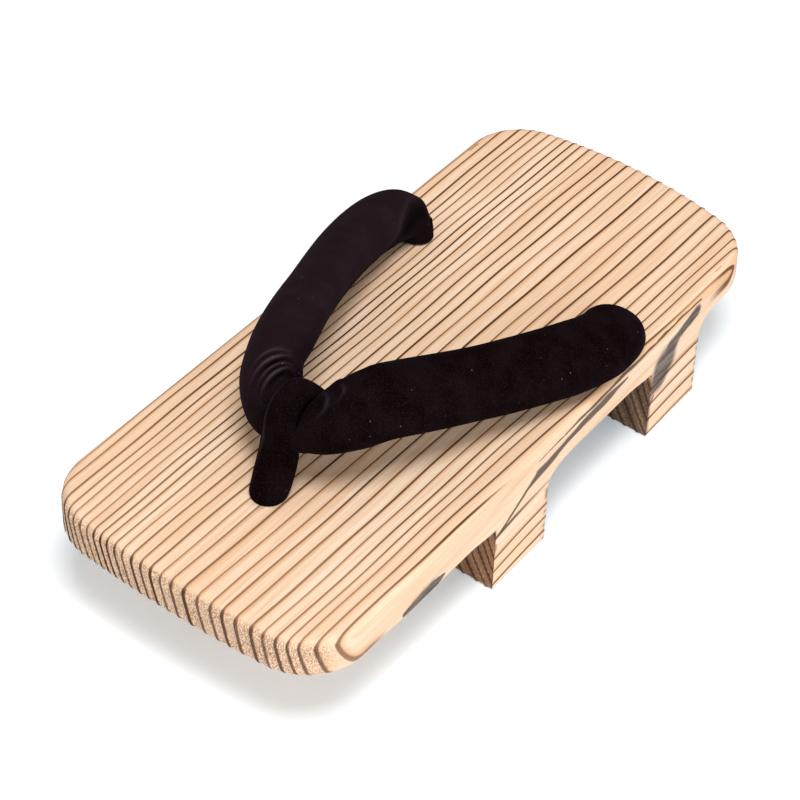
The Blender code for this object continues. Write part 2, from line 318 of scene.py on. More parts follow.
def lower_round(y):
    """Radius of the deck's lower edge: eased towards each tooth, whose sides are flush."""
    gap = np.minimum(np.abs(y - FRONT_TOOTH_Y), np.abs(y - REAR_TOOTH_Y)) - TOOTH_LENGTH / 2
    ease = np.clip(gap / LOWER_EASE, 0, 1)
    return LOWER_ROUND * ease * ease * (3 - 2 * ease)


print("rows along a side", len(side_rows))

# %% [markdown]
# Now the block's surface: the deck, a wall that goes all round it with a rounded upper and
# lower edge, the underside, and two teeth. Every point carries its normal, because the
# ridges of the grain are added along it before the patches are welded.

# %% Surface of the block
EDGE_STEPS, FLAT_STEPS, LOWER_STEPS = 6, 10, 5
TOOTH_ROWS, TOOTH_ROUND_STEPS = 14, 4


def deck_xy(inset_ends, side_inset):
    """x and y of the ruled grid from heel to toe, inset from the plan's outline."""
    toe = toe_edge - inset_ends * toe_out
    heel = heel_edge - inset_ends * heel_out
    heel_share = np.linspace(0, 1, END_ROWS + 1)[:-1, None]
    toe_share = np.linspace(0, 1, END_ROWS + 1)[1:, None]
    y = np.vstack((
        heel[:, 1] + heel_share * (heel_row - heel[:, 1]),
        np.repeat(side_rows[:, None], COLUMNS, axis=1),
        toe_row + toe_share * (toe[:, 1] - toe_row),
    ))
    span = toe[:, 1] - heel[:, 1]
    x = heel[:, 0] + (toe[:, 0] - heel[:, 0]) * (y - heel[:, 1]) / span
    inner = half_width(y) - side_inset(y)
    return x * (inner / (half_width(y) - inset_ends)), y


def ridged(points, normals):
    """Points moved outwards along their normals by the ridges of the grain."""
    height = ridge_height(points[..., 0], points[..., 1], points[..., 2], normals)
    return points + height[..., None] * normals


def add_deck(patches):
    """The flat top, inside the rounded edge."""
    x, y = deck_xy(EDGE_ROUND, lambda y: EDGE_ROUND + 0 * y)
    points = np.stack((x, y, np.full_like(x, HEIGHT)), axis=-1)
    up = np.zeros_like(points)
    up[..., 2] = 1
    patches.add(ridged(points, up))


def outline_loop():
    """The plan's outline as one loop of points and outward normals, without doubles."""
    left = np.column_stack((-half_width(side_rows), side_rows))
    right = np.column_stack((half_width(side_rows), side_rows))
    left_out = np.tile((-1.0, 0.0), (len(side_rows), 1))
    points = np.vstack((toe_edge[::-1], left[-2:0:-1], heel_edge, right[1:-1]))
    outwards = np.vstack((toe_out[::-1], left_out[-2:0:-1], heel_out, -left_out[1:-1]))
    return points, outwards


def add_wall(patches):
    """The wall round the deck: a quarter round above, flat, and a quarter round below."""
    base, outwards = outline_loop()
    radius = lower_round(base[:, 1])
    low = low_z(base[:, 1] - radius * outwards[:, 1])
    rows = []
    for angle in np.linspace(math.pi / 2, 0, EDGE_STEPS + 1):
        inset = EDGE_ROUND * (1 - math.cos(angle))
        rows.append((inset + 0 * low, HEIGHT - EDGE_ROUND * (1 - math.sin(angle)) + 0 * low, angle))
    for share in np.linspace(0, 1, FLAT_STEPS + 1)[1:]:
        top = HEIGHT - EDGE_ROUND
        rows.append((0 * low, top + share * (low + radius - top), 0.0))
    for angle in np.linspace(0, math.pi / 2, LOWER_STEPS + 1)[1:]:
        rows.append((radius * (1 - math.cos(angle)), low + radius * (1 - math.sin(angle)), -angle))
    points, normals = [], []
    for inset, z, angle in rows:
        xy = base - inset[:, None] * outwards
        points.append(np.column_stack((xy, z)))
        normals.append(np.column_stack((outwards * math.cos(angle), np.full(len(z), math.sin(angle)))))
    points, normals = np.array(points), np.array(normals)
    patches.add(ridged(points, normals), round_columns=True)


def add_underside(patches):
    """The deck's underside, left out where a tooth stands."""
    x, y = deck_xy(LOWER_ROUND, lower_round)
    z = low_z(y)
    points = np.stack((x, y, z), axis=-1)
    start, row = 0, END_ROWS
    for kind, rows in stretches:
        end = row + len(rows) - 1
        if kind == "tooth":
            patches.add(points[start:row + 1], flip=True)
            start = end
        row = end
    patches.add(points[start:], flip=True)


def add_tooth(patches, faces, roots):
    """One tooth as a stack of level rectangles, inset near the floor by a quarter round:
    two sides, two faces and the sole."""
    y_share = np.linspace(0, 1, len(spaced(*faces, TOOTH_STEP)))
    columns_x, columns_y = deck_xy(LOWER_ROUND, lower_round)
    angles = np.linspace(0, math.pi / 2, TOOTH_ROUND_STEPS + 1)
    down = np.linspace(0, 1, TOOTH_ROWS + 1)
    for side in (-1, 1):
        y = faces[0] + y_share * (faces[1] - faces[0])
        root = low_z(y)
        z = root[None] + down[:, None] * (TOOTH_ROUND - root)[None]
        flat_y = np.repeat(y[None], len(down), axis=0)
        inset = TOOTH_ROUND * (1 - np.cos(angles[1:]))[:, None]
        round_y = (y[0] + inset) + y_share[None] * (y[-1] - y[0] - 2 * inset)
        round_z = np.repeat(TOOTH_ROUND * (1 - np.sin(angles[1:]))[:, None], len(y), axis=1)
        all_y = np.vstack((flat_y, round_y))
        x = side * (half_width(all_y) - np.vstack((0 * flat_y, inset + 0 * round_y)))
        points = np.stack((x, all_y, np.vstack((z, round_z))), axis=-1)
        normal = np.zeros_like(points)
        normal[..., 0] = side
        patches.add(ridged(points, normal), flip=side > 0)
    sole = []
    for face, way, root_z in ((faces[0], -1, roots[0]), (faces[1], 1, roots[1])):
        row = int(np.argmin(np.abs(columns_y[:, COLUMNS // 2] - face)))
        share = columns_x[row] / np.abs(columns_x[row]).max()
        heights = np.concatenate((
            root_z + down * (TOOTH_ROUND - root_z), TOOTH_ROUND * (1 - np.sin(angles[1:]))))
        inset = np.concatenate((0 * down, TOOTH_ROUND * (1 - np.cos(angles[1:]))))
        y = face - way * inset
        x = share[None] * (half_width(y) - inset)[:, None]
        points = np.stack((x, np.repeat(y[:, None], COLUMNS, axis=1),
                           np.repeat(heights[:, None], COLUMNS, axis=1)), axis=-1)
        normal = np.zeros_like(points)
        normal[..., 1] = way
        amount = ridge_height(points[..., 0], points[..., 1], points[..., 2], normal)
        amount[[0, -1]] = 0
        amount *= (np.abs(share) < 0.9999)[None]
        patches.add(points + amount[..., None] * normal, flip=way < 0)
        sole.append(points[-1])
    share = y_share[:, None, None]
    patches.add(sole[0][None] * (1 - share) + sole[1][None] * share, flip=True)


patches = Patches()
add_deck(patches)
add_wall(patches)
add_underside(patches)
add_tooth(patches, REAR_FACES, (HEEL_Z - ROOT_FILLET, MIDDLE_Z))
add_tooth(patches, FRONT_FACES, (MIDDLE_Z - ROOT_FILLET, TOE_Z))
platform = patches.build("wooden_platform")

# %% [markdown]
# Three holes are burnt or drilled through the deck, with eased rims. A drill shape with a
# flared top and foot is turned round its axis, and an exact Boolean cuts it away.

# %% Strap holes
HOLE_SIDES = 40


def drill_holes(block, places):
    """Cut a flared round hole at each x, y, underside height."""
    angle = np.linspace(0, 2 * np.pi, HOLE_SIDES, endpoint=False)
    tool = Patches()
    for x, y, under in places:
        wide = HOLE_RADIUS + 2 * HOLE_RIM
        radius = np.array((0, wide, HOLE_RADIUS, HOLE_RADIUS, wide, 0))[:, None]
        z = np.array((under - HOLE_RIM, under - HOLE_RIM, under + HOLE_RIM, HEIGHT - HOLE_RIM,
                      HEIGHT + HOLE_RIM, HEIGHT + HOLE_RIM))[:, None]
        turned = (x + radius * np.cos(angle), y + radius * np.sin(angle), z + 0 * angle)
        tool.add(np.stack(turned, axis=-1), round_columns=True)
    drill = tool.build("drill")
    cut = block.modifiers.new("holes", "BOOLEAN")
    cut.operation, cut.solver, cut.object = "DIFFERENCE", "EXACT", drill
    apply_modifiers(block)
    bpy.data.objects.remove(drill)
    return block


drill_holes(platform, [
    (0, FRONT_HOLE_Y, TOE_Z), (REAR_HOLE_X, REAR_HOLE_Y, MIDDLE_Z), (-REAR_HOLE_X, REAR_HOLE_Y, MIDDLE_Z)])
print("platform triangles", sum(len(face.vertices) - 2 for face in platform.data.polygons))

# %% [markdown]
# The strap is a padded velvet tube. It leaves the rear holes, lies low over the deck's
# sides, rises over the instep and meets itself over the toe post. Its route is a smooth
# curve through listed stations, each with the size and the lean of an oval section. They
# start from the CAD's stations, and differ by a few millimetres at both ends of an arm.

# %% Route of the strap
STRAP_HALF_WIDTH, STRAP_HALF_THICKNESS, JUNCTION_Y, STRAP_RISE = 12.3, 8.0, 63.0, 26.3
FIT_GAP, KNOT_RADIUS, KNOT_HEIGHT = 0.3, 7.0, 10.0
# The knot's outline: where its half turn starts and ends, and its waist as a share
KNOT_TURN, KNOT_WAIST = (0.12, 0.94), 0.25
# Each station: way back, way out, rise, half width, half thickness, lean in degrees
STATIONS = (
    (0.000, 0.000, 0.890, 0.52, 0.68, 34),
    (0.000, 0.143, 0.889, 0.52, 0.68, 34),
    (0.001, 0.160, 0.889, 0.86, 0.88, 35),
    (0.010, 0.200, 0.893, 1.00, 0.95, 36),
    (0.036, 0.300, 0.925, 1.05, 0.99, 37),
    (0.085, 0.412, 0.975, 1.04, 1.00, 36),
    (0.161, 0.518, 1.000, 0.99, 1.00, 34),
    (0.296, 0.672, 0.909, 0.97, 1.00, 34),
    (0.448, 0.820, 0.757, 0.96, 1.00, 34),
    (0.592, 0.942, 0.616, 0.97, 1.00, 30),
    (0.726, 1.043, 0.480, 0.99, 1.00, 23),
    (0.843, 1.092, 0.380, 0.98, 1.00, 13),
    (0.925, 1.085, 0.335, 0.94, 0.99, 6),
    (0.985, 1.050, 0.262, 0.90, 0.94, 2),
    (1.006, 1.020, 0.100, 0.82, 0.88, 0),
)
# Where the gathered end sits on the deck: height over it, half width, half thickness
SEAT_ROWS = (
    (1.5, 9.9, 7.0), (0.8, 9.7, 6.9), (0.35, 9.0, 6.4),
    (0.15, 7.4, 5.9), (-0.1, 5.6, 5.4), (-0.6, 5.2, 5.2),
)
STRAP_STEPS, STRAP_SIDES = 15, 72
STRAIGHT_SPAN = (6.5, 26.0)
BAND_HALF_WIDTH, BAND_THICKNESS, BAND_GATHER, BAND_SHIFT = 6.8, 4.0, 1.5, 1.2
# Each arm's lift in front beside the wrap, its lift behind over the hole, and how far its
# full width reaches in under the wrap
PUFFS = {1: (-0.4, 0.0, 0.0), -1: (3.2, -2.2, 1.1)}
PUFF_X, PUFF_Y, PUFF_REACH, NECK_X, NECK_REACH = 14.0, -43.0, 13.0, 6.5, 3.0


def smooth_rows(rows, steps):
    """Rows on a Catmull-Rom curve: between two stations, a cubic that passes through both
    and leaves each along the line between its neighbours."""
    rows = np.array(rows, float)
    padded = np.vstack((2 * rows[0] - rows[1], rows, 2 * rows[-1] - rows[-2]))
    before, start, end, after = padded[:-3], padded[1:-2], padded[2:-1], padded[3:]
    t = np.linspace(0, 1, steps, endpoint=False)[None, :, None]
    before, start, end, after = (part[:, None] for part in (before, start, end, after))
    curve = 0.5 * (2 * start + (end - before) * t + (2 * before - 5 * start + 4 * end - after) * t ** 2
                   + (3 * start - before - 3 * end + after) * t ** 3)
    return np.vstack((curve.reshape(-1, rows.shape[1]), rows[-1:]))


def frames_along(rows, first_side, straight=None):
    """Tangent, wide axis and thin axis at each row: the side is carried along the route
    without twist, then leaned about it. With straight = (start, end), the sections stay
    square to X until x = start, and turn into the route until x = end."""
    centres = rows[:, :3]
    tangents = np.vstack((
        centres[1:2] - centres[:1], centres[2:] - centres[:-2], centres[-1:] - centres[-2:-1]))
    tangents /= np.linalg.norm(tangents, axis=1)[:, None]
    if straight is not None:
        turned = np.clip((centres[:, :1] - straight[0]) / (straight[1] - straight[0]), 0, 1)
        turned[int(np.argmax(turned)):] = 1
        tangents = np.array((1.0, 0, 0)) * (1 - turned) + tangents * turned
        tangents /= np.linalg.norm(tangents, axis=1)[:, None]
    side, wide, thin = np.array(first_side, float), [], []
    for tangent, lean in zip(tangents, np.radians(rows[:, 5])):
        side = side - tangent * side.dot(tangent)
        side /= np.linalg.norm(side)
        upwards = np.cross(tangent, side)
        wide.append(side * math.cos(lean) - upwards * math.sin(lean))
        thin.append(side * math.sin(lean) + upwards * math.cos(lean))
    return tangents, np.array(wide), np.array(thin)


def oval_tube(rows, frames, sides):
    """Points and outward normals of a tube: centre + wide axis x a cos + thin axis x b sin."""
    _, wide, thin = frames
    angle = np.linspace(0, 2 * np.pi, sides, endpoint=False)
    cos, sin = np.cos(angle)[None, :, None], np.sin(angle)[None, :, None]
    a, b = rows[:, 3][:, None, None], rows[:, 4][:, None, None]
    points = rows[:, None, :3] + wide[:, None] * a * cos + thin[:, None] * b * sin
    normals = wide[:, None] * b * cos + thin[:, None] * a * sin
    return points, normals / np.linalg.norm(normals, axis=-1, keepdims=True), angle


def knot_rows(x, y, under):
    """The cord through the deck, then a round knot below it."""
    inside = HOLE_RADIUS - FIT_GAP
    top = under - FIT_GAP
    rows = [(x, y, z, inside, inside, 0) for z in np.linspace(HEIGHT - 2 * HOLE_RIM, under + HOLE_RIM, 6)]
    turn = np.linspace(*KNOT_TURN, 14) * np.pi
    for a in turn:
        radius = KNOT_RADIUS * (KNOT_WAIST + (1 - KNOT_WAIST) * math.sin(a))
        rows.append((x, y, top - KNOT_HEIGHT * (1 - math.cos(a)) / 2, radius, radius, 0))
    return rows


def strap_arm(puff):
    """Rows of one arm, from the junction over the toe post to its knot. The front is
    lifted by the puff, where the padding bulges beside the wrap."""
    route = [(out * REAR_HOLE_X, JUNCTION_Y + back * (REAR_HOLE_Y - JUNCTION_Y), HEIGHT + rise * STRAP_RISE,
              wide * STRAP_HALF_WIDTH, thick * STRAP_HALF_THICKNESS, lean)
             for back, out, rise, wide, thick, lean in STATIONS]
    route = smooth_rows(route, STRAP_STEPS)
    beside = np.exp(-((route[:, 0] - PUFF_X) / PUFF_REACH) ** 2) * (route[:, 1] > 0)
    route[:, 2] += puff[0] * beside * np.clip((route[:, 0] - NECK_X + puff[2]) / 4, 0, 1)
    high = np.clip((route[:, 2] - HEIGHT - 3) / 4, 0, 1)
    route[:, 2] += puff[1] * high * np.exp(-((route[:, 1] - PUFF_Y) / PUFF_REACH) ** 2)
    route[:, 0] -= puff[2] * np.exp(-((route[:, 0] - NECK_X) / NECK_REACH) ** 2)
    seat = [(REAR_HOLE_X, REAR_HOLE_Y, HEIGHT + rise, wide, thick, 0) for rise, wide, thick in SEAT_ROWS]
    return np.vstack((route, seat, knot_rows(REAR_HOLE_X, REAR_HOLE_Y, MIDDLE_Z)))


arms = {side: strap_arm(puff) for side, puff in PUFFS.items()}
print("rings along one arm", len(arms[1]))

# %% [markdown]
# Padding makes soft forms, not stitched ones: the tube gathers where it is pulled into a
# hole, folds over itself where it turns to the toe, and dents along its lower edge. Each
# crease is placed one by one: where along the arm, at which angle of the section, how wide
# it is, how far it goes round, its slant and its depth. A negative depth is a ridge.

# %% Strap
# Beside each trough: how far behind it the ridge lies, in widths of the crease, and how much
# painted highlight the ridge and painted shade the trough get; then the creases' common bend
RIDGE_BEHIND, RIDGE_HIGHLIGHT, TROUGH_SHADE, CREASE_BEND = 1.3, 1.7, 2.2, -0.012
# Painted highlight along a fold's ridge, and painted shade on the pile behind the fold
FOLD_HIGHLIGHT, FOLD_SHADE = 0.22, 0.6
CORD_STRANDS, CORD_DEPTH, CORD_PITCH = 3, 0.35, 1.1
# Each crease: arm side, share of the way, angle round, width, extent round, slant, depth
CREASES = (
    (1, 0.146, 108, 1.0, 26, -0.012, 0.30),
    (1, 0.124, 110, 1.2, 28, -0.012, 0.65),
    (1, 0.102, 113, 1.0, 24, -0.012, 0.45),
    (1, 0.078, 115, 1.4, 26, -0.012, 0.65),
    (1, 0.240, 60, 5.0, 40, 0.030, 0.35),
    (1, 0.560, 20, 8.0, 40, -0.040, 0.35),
    (1, 0.856, 153, 2.8, 60, -0.120, -0.8),
    (1, 0.920, 153, 5.0, 60, -0.120, 0.5),
    (-1, 0.080, 100, 1.3, 18, -0.008, 0.18),
    (-1, 0.110, 118, 1.2, 14, -0.008, 0.14),
    (-1, 0.480, 20, 8.0, 40, 0.040, 0.35),
    (-1, 0.985, 60, 3.0, 40, 0.020, 0.5),
    (-1, 0.955, 20, 3.0, 36, -0.020, 0.4),
)


def creased(side, rows, points, normals, angle):
    """Points moved inwards by each crease: a trough along its own slanted line, fading
    round the section, plus the knot's twisted cord below the deck. Also the painted light
    and shade of the pile: below zero, painted shade, in the troughs and behind a fold; above
    zero, painted highlight, on the ridge behind each narrow trough and along a fold."""
    step = np.linalg.norm(np.diff(rows[:, :3], axis=0), axis=1)
    along = np.concatenate(([0], np.cumsum(step)))
    above = rows[:, 2] > HEIGHT
    length = along[above][-1]
    depth, rubbed = np.zeros(points.shape[:2]), np.zeros(points.shape[:2])
    for arm_side, share, middle, width, extent, slant, amount in CREASES:
        if arm_side != side:
            continue
        turn = (np.degrees(angle)[None] - middle + 180) % 360 - 180
        bent = share + slant * turn / extent + CREASE_BEND * (turn / extent) ** 2
        distance = along[:, None] - length * bent
        fade = amount * np.exp(-(turn / extent) ** 2)
        depth += fade * np.exp(-(distance / width) ** 2)
        if amount < 0:
            # Painted highlight along the fold's ridge, then painted shade on the pile behind it
            rubbed -= fade * np.exp(-(distance / (0.6 * width)) ** 2) * FOLD_HIGHLIGHT
            rubbed -= FOLD_SHADE * np.clip(distance / width, 0, 1) * np.exp(-(turn / extent) ** 4)
            continue
        # Painted highlight on the ridge behind a narrow trough, painted shade in the trough
        ridge = np.exp(-((distance - RIDGE_BEHIND * width) / (0.7 * width)) ** 2) * (width < 2)
        rubbed += fade * (RIDGE_HIGHLIGHT * ridge - TROUGH_SHADE * np.exp(-(distance / (0.8 * width)) ** 2)) / width
    below = rows[:, 2] < MIDDLE_Z
    twist = np.cos(CORD_STRANDS * angle[None] + rows[:, 2][:, None] * CORD_PITCH)
    depth += CORD_DEPTH * twist * below[:, None]
    return points - depth[..., None] * normals, rubbed


def add_strap():
    """Both arms in one tube, knot to knot."""
    halves, crease_light_and_shade = {}, {}
    for side, arm in arms.items():
        frames = frames_along(arm, (0, 1, 0), STRAIGHT_SPAN)
        points, normals, angle = oval_tube(arm, frames, STRAP_SIDES)
        points, crease_light_and_shade[side] = creased(side, arm, points, normals, angle)
        halves[side] = points * np.array((side, 1, 1))
    rings = np.vstack((halves[-1][:0:-1], halves[1]))
    strap = Patches()
    index = strap.add(rings, round_columns=True)
    strap.close(index[0, :-1])
    strap.close(index[-1, :-1], flip=True)
    piece = strap.build("padded_strap")
    # The painted light and shade is kept on the points, for the velvet's colour to read
    rubbed = piece.data.attributes.new("rubbed", "FLOAT", "POINT")
    rubbed.data.foreach_set("value", np.vstack((crease_light_and_shade[-1][:0:-1], crease_light_and_shade[1])).ravel())
    return piece


strap = add_strap()

# %% [markdown]
# The toe post is one more velvet tube: it comes up out of the front hole, leans back and is
# wrapped round the two arms where they meet. Cloth has no sharp inner corner, so the stem
# and the wrap are made as two closed shells, fused by a voxel remesh, and relaxed.

# %% Toe post
# Each stem station: way back from the hole, height over the deck, half width, half thickness
STEM_STATIONS = (
    (6.6, 26.0, 5.2, 1.0),
    (5.6, 22.0, 6.4, 1.7),
    (5.7, 17.5, 7.2, 3.0),
    (4.6, 12.0, 7.1, 4.3),
    (2.4, 6.0, 6.8, 5.4),
    (0.5, 1.6, 6.3, 6.0),
    (0.0, 0.4, 6.1, 6.0),
    (0.0, -0.8, 5.2, 5.2),
)
POST_SIDES, BAND_STEPS = 40, 72
# Painted highlight and shade along the wrap's edges: how far out from its middle, how strong, how wide
RIM_PLACE, RIM_LIGHT_AND_SHADE, RIM_WIDTH = 5.3, 0.30, 0.6
VOXEL, RELAX_STEPS = 0.55, 5


def junction_oval():
    """Centre, wide and thin axes and half sizes of the wrap round the strap's middle."""
    _, _, rise, wide, thick, lean = STATIONS[0]
    lean = math.radians(lean)
    centre = np.array((0, JUNCTION_Y, HEIGHT + rise * STRAP_RISE))
    wide_axis = np.array((0, math.cos(lean), -math.sin(lean)))
    thin_axis = np.array((0, math.sin(lean), math.cos(lean)))
    reach = FIT_GAP + BAND_THICKNESS / 2
    return centre, wide_axis, thin_axis, wide * STRAP_HALF_WIDTH + reach, thick * STRAP_HALF_THICKNESS + reach


def wrap_points():
    """A band of oval section carried round the junction's oval."""
    centre, wide_axis, thin_axis, wide, thin = junction_oval()
    angle = np.linspace(0, 2 * np.pi, BAND_STEPS, endpoint=False)
    turn = np.linspace(0, 2 * np.pi, POST_SIDES, endpoint=False)
    cos, sin = np.cos(angle)[:, None], np.sin(angle)[:, None]
    middle = centre + wide_axis * wide * cos + thin_axis * thin * sin
    outwards = wide_axis * cos / wide + thin_axis * sin / thin
    outwards /= np.linalg.norm(outwards, axis=1)[:, None]
    gathered = np.clip(np.sin(angle - 0.3), 0, 1)[:, None, None]
    shift = np.array((BAND_SHIFT, 0, 0)) * gathered
    across = np.array((1.0, 0, 0)) * (BAND_HALF_WIDTH - BAND_GATHER * gathered)
    return (middle[:, None] + shift + across * np.cos(turn)[None, :, None]
            + outwards[:, None] * (BAND_THICKNESS / 2 * np.sin(turn))[None, :, None])


def stem_rows():
    """Rows of the stem: out of the wrap's front, down the front hole, to its knot."""
    rows = smooth_rows([(0, FRONT_HOLE_Y - back, HEIGHT + rise, wide, thick, 0)
                        for back, rise, wide, thick in STEM_STATIONS], 10)
    return np.vstack((rows, knot_rows(0, FRONT_HOLE_Y, TOE_Z)[1:]))


def add_toe_post():
    """Stem and wrap, fused and relaxed."""
    shells = Patches()
    shells.add(wrap_points(), round_columns=True, round_rows=True)
    rows = stem_rows()
    points, _, _ = oval_tube(rows, frames_along(rows, (1, 0, 0)), POST_SIDES)
    index = shells.add(points, round_columns=True)
    shells.close(index[0, :-1])
    shells.close(index[-1, :-1], flip=True)
    post = shells.build("toe_post_wrap")
    fuse = post.modifiers.new("fuse", "REMESH")
    fuse.mode, fuse.voxel_size = "VOXEL", VOXEL * MM
    relax = post.modifiers.new("relax", "SMOOTH")
    relax.factor, relax.iterations = 0.5, RELAX_STEPS
    apply_modifiers(post)
    place = np.zeros(3 * len(post.data.vertices))
    post.data.vertices.foreach_get("co", place)
    x, _, z = place.reshape(-1, 3).T / MM
    # Painted highlight along the wrap's edge towards +X and painted shade along its edge towards -X, higher
    # than 8 mm over the deck
    middle = BAND_SHIFT * np.clip((z - HEIGHT - 18) / 12, 0, 1)
    rim = np.exp(-((np.abs(x - middle) - RIM_PLACE) / RIM_WIDTH) ** 2)
    rim *= np.clip((z - HEIGHT - 8) / 8, 0, 1)
    rim *= np.where(x > middle, 1.0, -0.6)
    post.data.attributes.new("rubbed", "FLOAT", "POINT").data.foreach_set("value", RIM_LIGHT_AND_SHADE * rim)
    print("toe post faces", len(post.data.polygons))
    return post


post = add_toe_post()

# %% [markdown]
# Shader sums are easier to read as Python. One class stands for a socket of a material's
# node and overloads the operators, so that an expression on it adds its Math nodes. All
# other nodes come from one method that sets a node's settings before its sockets.

# %% Shader sums in Python
class Wire:
    """An output socket of a node in a material."""

    def __init__(self, paint, socket):
        self.paint, self.socket = paint, socket

    def maths(self, operation, *values):
        """A Math node on the given values."""
        return self.paint.node("Math", {"operation": operation}, dict(enumerate(values)))

    def __add__(self, other):
        return self.maths("ADD", self, other)

    def __sub__(self, other):
        return self.maths("SUBTRACT", self, other)

    def __rsub__(self, other):
        return self.maths("SUBTRACT", other, self)

    def __mul__(self, other):
        return self.maths("MULTIPLY", self, other)

    def __truediv__(self, other):
        return self.maths("DIVIDE", self, other)

    def __pow__(self, other):
        return self.maths("POWER", self, other)

    __radd__, __rmul__ = __add__, __mul__

    def sine(self):
        return self.maths("SINE", self)

    def size(self):
        return self.maths("ABSOLUTE", self)

    def floor(self):
        return self.maths("FLOOR", self)

    def smallest(self, other):
        return self.maths("MINIMUM", self, other)

    def largest(self, other):
        return self.maths("MAXIMUM", self, other)

    def ease(self, start, end, low=0.0, high=1.0):
        """Runs smoothly from low to high while the number runs from start to end."""
        return self.paint.node("MapRange", {"interpolation_type": "SMOOTHSTEP"}, {
            "Value": self, "From Min": start, "From Max": end, "To Min": low, "To Max": high})


class Paint:
    """One material and its nodes."""

    def __init__(self, name, constants):
        self.material = bpy.data.materials.new(name)
        self.material.use_nodes = True
        self.tree = self.material.node_tree
        self.shader = self.tree.nodes["Principled BSDF"]
        for socket, value in constants.items():
            self.shader.inputs[socket].default_value = value

    def node(self, kind, settings, inputs, output=0):
        """Add a node: its settings first, then the values or links of its sockets."""
        node = self.tree.nodes.new("ShaderNode" + kind)
        for key, value in settings.items():
            if key == "curve":
                points = node.mapping.curves[0].points
                for place in value[1:-1]:
                    points.new(*place)
                for point, place in zip(points, value):
                    point.location, point.handle_type = place, "VECTOR"
                node.mapping.update()
            else:
                setattr(node, key, value)
        for key, value in inputs.items():
            if isinstance(value, Wire):
                self.tree.links.new(value.socket, node.inputs[key])
            else:
                node.inputs[key].default_value = value
        return Wire(self, node.outputs[output])

    def feed(self, socket, wire):
        """Link a wire to a socket of the shader."""
        self.tree.links.new(wire.socket, self.shader.inputs[socket])

    def place(self):
        """Object coordinates."""
        return self.node("TexCoord", {}, {}, "Object")

    def axes(self, vector):
        """x, y and z of a vector."""
        split = self.node("SeparateXYZ", {}, {"Vector": vector})
        return split, Wire(self, split.socket.node.outputs[1]), Wire(self, split.socket.node.outputs[2])

    def stretched(self, place, scale):
        """Coordinates scaled on each axis."""
        return self.node("Mapping", {}, {"Vector": place, "Scale": scale})

    def noise(self, place, scale, detail=2.0, rough=0.5):
        """Soft noise between 0 and 1."""
        inputs = {"Vector": place, "Scale": scale, "Detail": detail, "Roughness": rough}
        return self.node("TexNoise", {}, inputs)

    def mix(self, share, first, second):
        """A colour between two others."""
        return self.node("Mix", {"data_type": "RGBA"}, {0: share, 6: first, 7: second}, 2)

    def bump(self, height, distance, strength=1.0, under=None):
        """A normal tilted by a height, on top of another bump if one is given."""
        inputs = {"Height": height, "Distance": distance, "Strength": strength}
        if under is not None:
            inputs["Normal"] = under
        return self.node("Bump", {}, inputs)


# %% [markdown]
# The wood is pale cedar, scorched and brushed: cream early wood, thin dark late wood that
# stands a little proud, and pores and darker stain where the end grain is cut. The ring
# count of the mesh is worked out again by the same function, now on node sockets, and a
# float curve holds the same ring places. What differs between deck, sides and ends comes
# from the direction that the surface faces. On the side of -X lie a few scorched marks,
# drawn as strokes with wavering edges.

# %% Cedar
# Marks on the side of -X, as strokes: y, z and half width at each place, None between two
GREY_MARKS = (
    (80.5, 30.8, 1.2), (75.1, 29.7, 3.4), (70.9, 29.8, 3.9), (66.8, 30.5, 3.2), (60.5, 31.4, 0.8), None,
    (-81.5, 39.3, 2.5), (-71.0, 36.2, 2.3), (-67.0, 33.5, 4.0), (-63.5, 29.0, 6.6), (-61.0, 24.0, 5.4),
    (-57.5, 19.6, 1.3), None, (-58.6, 17.6, 0.4), (-54.6, 13.6, 1.4),
)
BROWN_MARKS = (
    (30.7, 24.5, 0.5), (15.0, 33.2, 0.9), (10.0, 35.2, 2.1), (3.0, 36.0, 1.6), (-6.5, 37.8, 1.2),
    (-18.0, 38.8, 1.8), (-28.0, 39.3, 2.0), (-40.0, 40.0, 0.5), None,
    (-84.0, 43.2, 0.3), (-62.0, 43.0, 0.5), (-35.0, 42.5, 0.7), (-5.0, 41.6, 0.6), (10.0, 40.9, 0.2),
)
WARM_MARKS = ((-20.0, 43.2, 1.5), (-60.0, 43.4, 2.6), (-106.0, 43.4, 3.4))


def strokes(y, z, marks, edge):
    """One over the marks' strokes and zero off them. Each is a line from place to place:
    the distance to the line's nearest point, over the half width there."""
    inside = None
    for start, end in zip(marks[:-1], marks[1:]):
        if start is None or end is None:
            continue
        (start_y, start_z, start_width), (end_y, end_z, end_width) = start, end
        run_y, run_z = end_y - start_y, end_z - start_z
        share = ((y - start_y) * run_y + (z - start_z) * run_z) / (run_y ** 2 + run_z ** 2)
        share = share.largest(0.0).smallest(1.0)
        off_y, off_z = y - start_y - share * run_y, z - start_z - share * run_z
        distance = (off_y * off_y + off_z * off_z) ** 0.5
        mark = (distance / (share * (end_width - start_width) + start_width)).ease(1.0 + edge, 1.0 - edge)
        inside = mark if inside is None else inside.largest(mark)
    return inside


